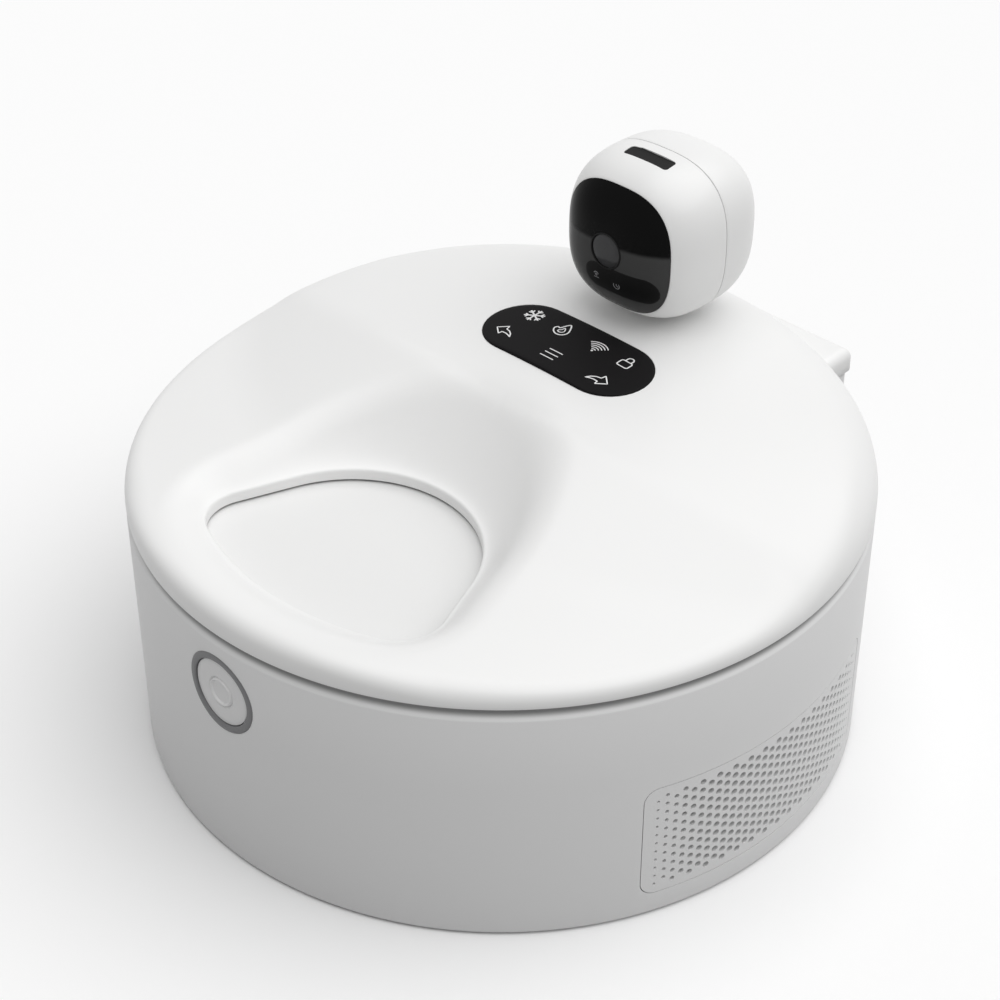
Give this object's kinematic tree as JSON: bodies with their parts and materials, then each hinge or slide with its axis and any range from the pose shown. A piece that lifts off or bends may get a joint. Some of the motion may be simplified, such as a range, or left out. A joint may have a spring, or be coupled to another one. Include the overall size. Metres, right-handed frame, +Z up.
{
  "type": "automatic wet food feeder",
  "caption": "Round chilled pet feeder with a hinged domed lid, a scooped feeding opening, a turning tray of food wells, side vents, a release button and a small camera on top.",
  "frame": {"origin": "on the body's vertical axis, at the floor plane under the feet", "axes": "+Z up, the feeding opening and release button face -Y, +X to the right seen from the front"},
  "size_m": [0.32, 0.3308, 0.2337],
  "materials": {
    "lid_plastic": "satin white moulded plastic",
    "base_plastic": "fine-grained pale grey moulded plastic",
    "inner_plastic": "smooth white inner moulding",
    "tray_plastic": "smooth food-safe white plastic",
    "bezel_plastic": "mid grey moulded plastic",
    "black_plastic": "black moulded plastic",
    "panel_gloss": "black gloss touch panel with white printed symbols",
    "gear_plastic": "natural acetal",
    "foot_rubber": "dark soft rubber",
    "seal_rubber": "pale silicone",
    "foam": "closed-cell insulating foam",
    "steel": "turned and plated steel",
    "aluminium": "extruded aluminium",
    "ceramic": "white ceramic faces, stated as plastic",
    "board": "green circuit board",
    "lens_glass": "dark coated lens"
  },
  "bodies": {
    "base": {"outer_housing": "base_plastic", "bottom_cover": "base_plastic", "rubber_feet": "foot_rubber", "base_screws": "steel", "cold_chamber": "inner_plastic", "insulation_ring": "foam", "cold_plate": "aluminium", "peltier_module": "ceramic", "heat_sink": "aluminium", "fan_frame": "black_plastic", "vent_grille_right": "base_plastic", "vent_grille_left": "base_plastic", "spindle_bush": "steel", "gear_motor": "steel", "main_board": "board", "power_jack": "black_plastic", "button_bezel": "bezel_plastic", "latch_arm": "bezel_plastic", "hinge_pins": "steel"},
    "fan": {"fan_rotor": "black_plastic"},
    "pinion": {"motor_shaft": "steel", "drive_pinion": "gear_plastic"},
    "tray": {"drive_gear": "gear_plastic", "drive_spindle": "steel", "turntable": "inner_plastic", "food_tray": "tray_plastic"},
    "button": {"release_button": "base_plastic"},
    "lid": {"lid_shell": "lid_plastic", "hinge_cover": "lid_plastic", "lid_liner": "inner_plastic", "lid_seal": "seal_rubber", "lid_screws": "steel", "lid_striker": "bezel_plastic", "control_panel": "panel_gloss", "panel_board": "board", "camera_foot": "lid_plastic"},
    "camera": {"camera_neck": "lid_plastic", "camera_front_shell": "lid_plastic", "camera_rear_shell": "lid_plastic", "camera_window": "panel_gloss", "lens_ring": "bezel_plastic", "camera_lens": "lens_glass", "camera_slot_cap": "black_plastic", "camera_board": "board"}
  },
  "joints": [
    {"name": "lid_hinge", "type": "hinge", "parent": "base", "child": "lid", "pos_m": [0, 0.166, 0.11905], "axis": [-1, 0, 0], "range_deg": [0, 75], "deforming": ["latch_arm"]},
    {"name": "tray_spin", "type": "hinge", "parent": "base", "child": "tray", "pos_m": [0, 0, 0.0762], "axis": [0, 0, 1], "continuous": true},
    {"name": "pinion_spin", "type": "hinge", "parent": "base", "child": "pinion", "pos_m": [-0.0375, 0, 0.058], "axis": [0, 0, 1], "continuous": true},
    {"name": "fan_spin", "type": "hinge", "parent": "base", "child": "fan", "pos_m": [0, 0.08, 0.032], "axis": [0, 0, 1], "continuous": true},
    {"name": "button_press", "type": "slide", "parent": "base", "child": "button", "axis": [0, 1, 0], "range_m": [0, 0.0015], "stiffness_N_per_m": 900, "deforming": ["latch_arm"]},
    {"name": "camera_pan", "type": "hinge", "parent": "lid", "child": "camera", "pos_m": [0, 0.1, 0.1625], "axis": [0, 0, 1], "range_deg": [-60, 60]}
  ],
  "couplings": [
    {"joint": "pinion_spin", "follows": "tray_spin", "ratio": -4}
  ]
}
